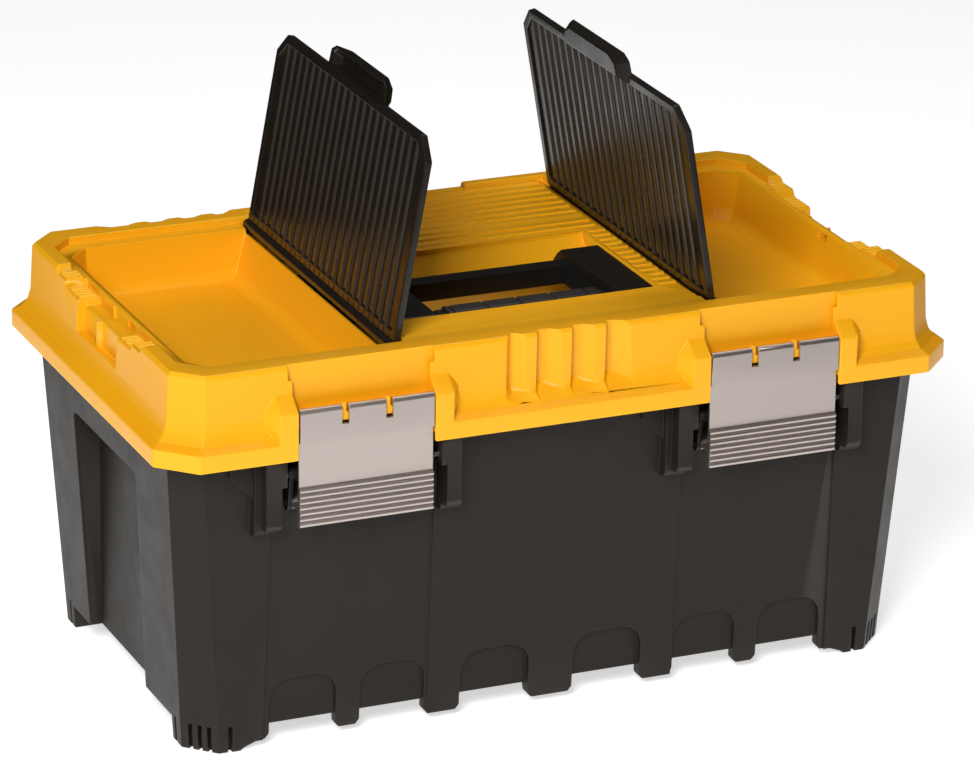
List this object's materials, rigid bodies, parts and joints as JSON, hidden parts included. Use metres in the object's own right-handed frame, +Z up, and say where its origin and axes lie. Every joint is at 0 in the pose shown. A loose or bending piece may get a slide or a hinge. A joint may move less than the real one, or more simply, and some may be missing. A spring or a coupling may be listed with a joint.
{
  "type": "toolbox with tray",
  "caption": "Long plastic toolbox with a hinged lid, two flip-top bins, folding carry handle, metal over-centre latches and a lift-out tray.",
  "frame": {"origin": "on the ground under the middle of the box", "axes": "+X along the box, -Y towards the latched front, +Z up"},
  "size_m": [0.56, 0.324, 0.4128],
  "materials": {
    "black_body": "satin, warm near-black",
    "yellow_lid": "satin-gloss moulded yellow",
    "smoke": "ribbed smoke-tinted clear plastic",
    "handle_black": "matte",
    "grip": "satin soft grip",
    "link_black": "black coated",
    "aluminium": "satin anodised",
    "tray_black": "satin",
    "steel": "drawn bright"
  },
  "bodies": {
    "base": {"base_tub": "black_body", "lid_hinge_pin_left": "steel", "lid_hinge_pin_right": "steel", "latch_axle_left": "steel", "latch_axle_right": "steel"},
    "lid": {"lid_shell": "yellow_lid", "flip_rod_left": "steel", "flip_rod_right": "steel", "handle_pin_left": "steel", "handle_pin_right": "steel"},
    "flip_left": {"flip_top_left": "smoke"},
    "flip_right": {"flip_top_right": "smoke"},
    "handle": {"handle_frame": "handle_black", "handle_grip": "grip"},
    "link_left": {"latch_link_left": "link_black", "latch_pin_left": "steel"},
    "link_right": {"latch_link_right": "link_black", "latch_pin_right": "steel"},
    "plate_left": {"latch_plate_left": "aluminium"},
    "plate_right": {"latch_plate_right": "aluminium"},
    "tray": {"lift_out_tray": "tray_black", "tray_grip": "tray_black"}
  },
  "joints": [
    {"name": "lid_hinge", "type": "hinge", "parent": "base", "child": "lid", "pos_m": [0, 0.1505, 0.202], "axis": [-1, 0, 0], "range_deg": [0, 100]},
    {"name": "flip_left_hinge", "type": "hinge", "parent": "lid", "child": "flip_left", "pos_m": [-0.114, 0, 0.264], "axis": [0, -1, 0], "range_deg": [0, 100]},
    {"name": "flip_right_hinge", "type": "hinge", "parent": "lid", "child": "flip_right", "pos_m": [0.114, 0, 0.264], "axis": [0, 1, 0], "range_deg": [0, 100]},
    {"name": "handle_hinge", "type": "hinge", "parent": "lid", "child": "handle", "pos_m": [0, 0, 0.256], "axis": [-1, 0, 0], "range_deg": [0, 90]},
    {"name": "link_left_hinge", "type": "hinge", "parent": "base", "child": "link_left", "pos_m": [-0.1435, -0.149, 0.195], "axis": [-1, 0, 0], "range_deg": [0, 80]},
    {"name": "plate_left_hinge", "type": "hinge", "parent": "link_left", "child": "plate_left", "pos_m": [-0.1435, -0.1453, 0.174], "axis": [-1, 0, 0], "range_deg": [-56, 0]},
    {"name": "link_right_hinge", "type": "hinge", "parent": "base", "child": "link_right", "pos_m": [0.1435, -0.149, 0.195], "axis": [-1, 0, 0], "range_deg": [0, 80]},
    {"name": "plate_right_hinge", "type": "hinge", "parent": "link_right", "child": "plate_right", "pos_m": [0.1435, -0.1453, 0.174], "axis": [-1, 0, 0], "range_deg": [-56, 0]},
    {"name": "tray_lift", "type": "slide", "parent": "base", "child": "tray", "axis": [0, 0, 1], "range_m": [0, 0.012]}
  ],
  "couplings": [
    {"joint": "plate_left_hinge", "follows": "link_left_hinge", "ratio": -0.7},
    {"joint": "plate_right_hinge", "follows": "link_right_hinge", "ratio": -0.7}
  ]
}
